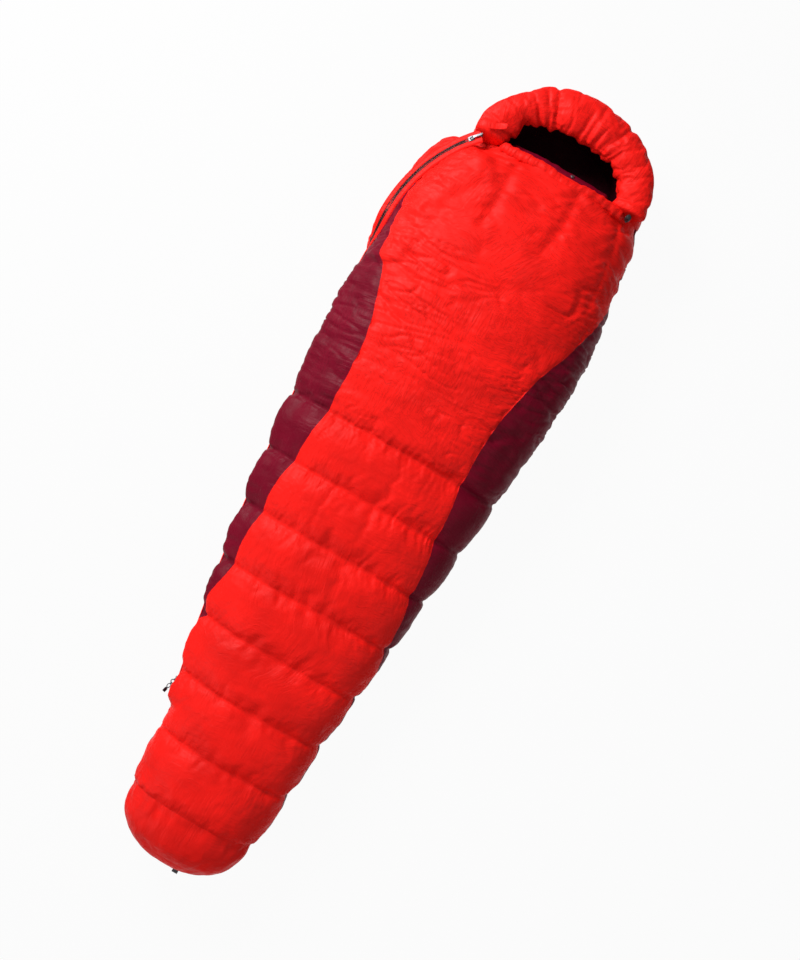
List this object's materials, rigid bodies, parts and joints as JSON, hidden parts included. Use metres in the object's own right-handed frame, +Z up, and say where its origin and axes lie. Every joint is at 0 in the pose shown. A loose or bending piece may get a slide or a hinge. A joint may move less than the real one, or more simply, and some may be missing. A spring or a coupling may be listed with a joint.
{
  "type": "mummy sleeping bag",
  "caption": "Insulated mummy sleeping bag with drawcord hood, curved two-way side zip, chest band, draft collar and hanging loop.",
  "frame": {"origin": "centre of the bag's bounding box, on the ground it lies on", "axes": "+Y from the foot to the hood, +Z up from the ground through the top panel, +X to the side away from the zip"},
  "size_m": [0.633, 2.15, 0.2388],
  "materials": {
    "red_nylon": "satin",
    "maroon_nylon": "satin",
    "dark_nylon": "matte",
    "liner_nylon": "satin",
    "white_fill": "matte",
    "baffle_mesh": "matte",
    "zip_metal": "satin",
    "zip_coil": "satin",
    "black_plastic": "matte",
    "black_cord": "matte",
    "spring_steel": "satin"
  },
  "bodies": {
    "bag": {"baffle_1": "baffle_mesh", "baffle_2": "baffle_mesh", "baffle_3": "baffle_mesh", "baffle_4": "baffle_mesh", "baffle_5": "baffle_mesh", "baffle_6": "baffle_mesh", "baffle_7": "baffle_mesh", "baffle_8": "baffle_mesh", "bottom_fill": "white_fill", "bottom_shell": "red_nylon", "chest_band": "red_nylon", "chest_drawcord": "black_cord", "chest_fill": "white_fill", "collar_stud": "black_plastic", "cord_lock_body": "black_plastic", "cord_lock_spring": "spring_steel", "draft_collar": "maroon_nylon", "draft_tube": "maroon_nylon", "foot_fill": "white_fill", "foot_loop": "dark_nylon", "foot_shell": "red_nylon", "hood_drawcord": "black_cord", "hood_fill_crown": "white_fill", "hood_fill_left": "white_fill", "hood_fill_right": "white_fill", "hood_floor_fill": "white_fill", "hood_floor_shell": "red_nylon", "hood_liner": "liner_nylon", "hood_rim": "red_nylon", "hood_shell_crown": "red_nylon", "hood_shell_left": "red_nylon", "hood_shell_right": "red_nylon", "leg_fill_1": "white_fill", "leg_fill_2": "white_fill", "leg_fill_3": "white_fill", "leg_fill_4": "white_fill", "leg_fill_5": "white_fill", "leg_fill_6": "white_fill", "leg_fill_7": "white_fill", "liner": "liner_nylon", "side_fill_left": "white_fill", "side_fill_right": "white_fill", "side_panel_left": "maroon_nylon", "side_panel_right": "maroon_nylon", "tab_loop_patch": "dark_nylon", "top_shell": "red_nylon", "zip_bottom_stop": "zip_metal", "zip_side_panel": "red_nylon", "zip_tape_side": "dark_nylon", "zip_tape_top": "dark_nylon", "zip_teeth_side": "zip_coil", "zip_teeth_top": "zip_coil", "zip_top_stop": "zip_metal"},
    "upper_slider": {"upper_slider": "zip_metal"},
    "upper_pull": {"upper_pull": "zip_metal"},
    "lower_slider": {"lower_slider": "zip_metal"},
    "lower_pull": {"lower_pull": "zip_metal", "lower_pull_tip": "dark_nylon"},
    "cord_lock_button": {"cord_lock_button": "black_plastic"},
    "closing_tab": {"closing_tab": "red_nylon"}
  },
  "joints": [
    {"name": "upper_slider_run", "type": "hinge", "parent": "bag", "child": "upper_slider", "pos_m": [0.01671, 0.6, 0.26629], "axis": [-0.342, 0, 0.9397], "range_deg": [0, 44]},
    {"name": "upper_pull_flip", "type": "hinge", "parent": "upper_slider", "child": "upper_pull", "pos_m": [-0.20701, 0.84458, 0.19039], "axis": [0.6528, -0.7193, 0.2376], "range_deg": [0, 170]},
    {"name": "lower_slider_run", "type": "hinge", "parent": "bag", "child": "lower_slider", "pos_m": [6.19722, 0.6, 0.1], "axis": [0, 0, -1], "range_deg": [0, 9.9]},
    {"name": "lower_pull_flip", "type": "hinge", "parent": "lower_slider", "child": "lower_pull", "pos_m": [-0.18656, -0.651, 0.1], "axis": [0, 0, -1], "range_deg": [0, 130]},
    {"name": "cord_lock_press", "type": "slide", "parent": "bag", "child": "cord_lock_button", "axis": [0, 0, -1], "range_m": [0, 0.0026], "stiffness_N_per_m": 400, "deforming": ["cord_lock_spring"]},
    {"name": "closing_tab_lift", "type": "hinge", "parent": "bag", "child": "closing_tab", "pos_m": [-0.184, 0.883, 0.2151], "axis": [0.4108, -0.9117, 0], "range_deg": [0, 120]}
  ]
}
